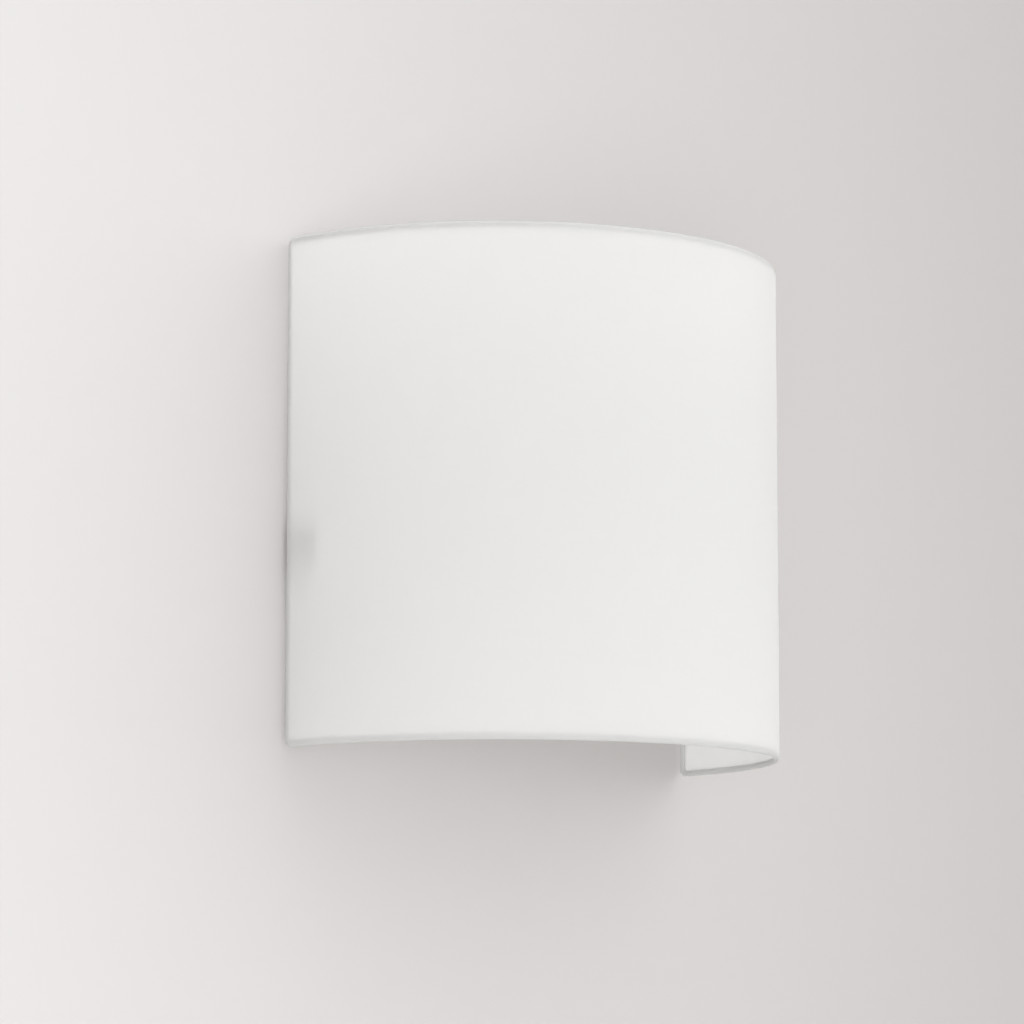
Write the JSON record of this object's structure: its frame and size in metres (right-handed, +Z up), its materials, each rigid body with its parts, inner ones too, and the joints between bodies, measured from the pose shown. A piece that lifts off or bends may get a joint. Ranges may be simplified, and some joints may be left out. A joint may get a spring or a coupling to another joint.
{
  "type": "fabric shade wall light",
  "caption": "Half-drum fabric wall light with a rolled-edge shade that pulls off ear brackets on a pressed wall plate, and an upright screw-cap lamp.",
  "frame": {"origin": "on the wall, at the centre of the wall-screw pattern, on the back face of the wall plate", "axes": "+X to the right of someone facing the wall, +Y into the wall, +Z up; the shade's front points to -Y"},
  "size_m": [0.25, 0.1308, 0.22],
  "materials": {
    "shade_cloth": "fine plain-woven off-white fabric, matte",
    "shade_lining": "smooth translucent white sheet",
    "frame_wire": "bright drawn wire",
    "white_paint": "smooth white powder coat",
    "zinc_steel": "bright zinc plate",
    "brass": "plain brass",
    "white_plastic": "moulded white, slight sheen",
    "porcelain": "unglazed off-white ceramic",
    "black_glass": "dark glossy collar",
    "lamp_metal": "rolled bright metal",
    "opal": "opal white, satin",
    "board_white": "white solder mask",
    "natural_nylon": "natural nylon",
    "grey_rubber": "soft matte rubber",
    "brown_wire": "soft insulation",
    "blue_wire": "soft insulation",
    "green_wire": "soft insulation, striped"
  },
  "bodies": {
    "base": {"wall_plate": "white_paint", "cable_grommet": "grey_rubber", "terminal_pan": "white_paint", "pan_screws": "zinc_steel", "arm_tube": "white_paint", "arm_washer": "zinc_steel", "arm_inner_nut": "zinc_steel", "arm_outer_nut": "white_paint", "lampholder_cap": "white_plastic", "lampholder_skirt": "white_plastic", "lampholder_carrier": "porcelain", "centre_contact": "brass", "side_contact": "brass", "terminal_block": "natural_nylon", "terminal_tunnels": "brass", "terminal_screws": "zinc_steel", "terminal_block_screws": "zinc_steel", "wire_live": "brown_wire", "wire_neutral": "blue_wire", "wire_earth": "green_wire", "earth_ring": "brass", "earth_washer": "zinc_steel", "earth_screw": "zinc_steel"},
    "shade": {"shade_fabric": "shade_cloth", "shade_liner": "shade_lining", "shade_wire": "frame_wire", "shade_tab_right": "white_paint", "shade_tab_left": "white_paint"},
    "thumb_right": {"thumbscrew_right": "zinc_steel"},
    "thumb_left": {"thumbscrew_left": "zinc_steel"},
    "lamp": {"lamp_tip": "brass", "lamp_insulator": "black_glass", "lamp_screw_shell": "lamp_metal", "lamp_housing": "white_plastic", "lamp_diffuser": "opal", "lamp_led_board": "board_white"}
  },
  "joints": [
    {"name": "shade_pull_off", "type": "slide", "parent": "base", "child": "shade", "axis": [0, -1, 0], "range_m": [0, 0.15]},
    {"name": "thumb_right_turn", "type": "hinge", "parent": "shade", "child": "thumb_right", "pos_m": [0.1182, -0.013, 0], "axis": [-1, 0, 0], "range_deg": [0, 1080]},
    {"name": "thumb_left_turn", "type": "hinge", "parent": "shade", "child": "thumb_left", "pos_m": [-0.1182, -0.013, 0], "axis": [1, 0, 0], "range_deg": [0, 1080]},
    {"name": "lamp_turn", "type": "hinge", "parent": "base", "child": "lamp", "pos_m": [0, -0.07, 0.03], "axis": [0, 0, 1], "range_deg": [0, 1080]}
  ]
}
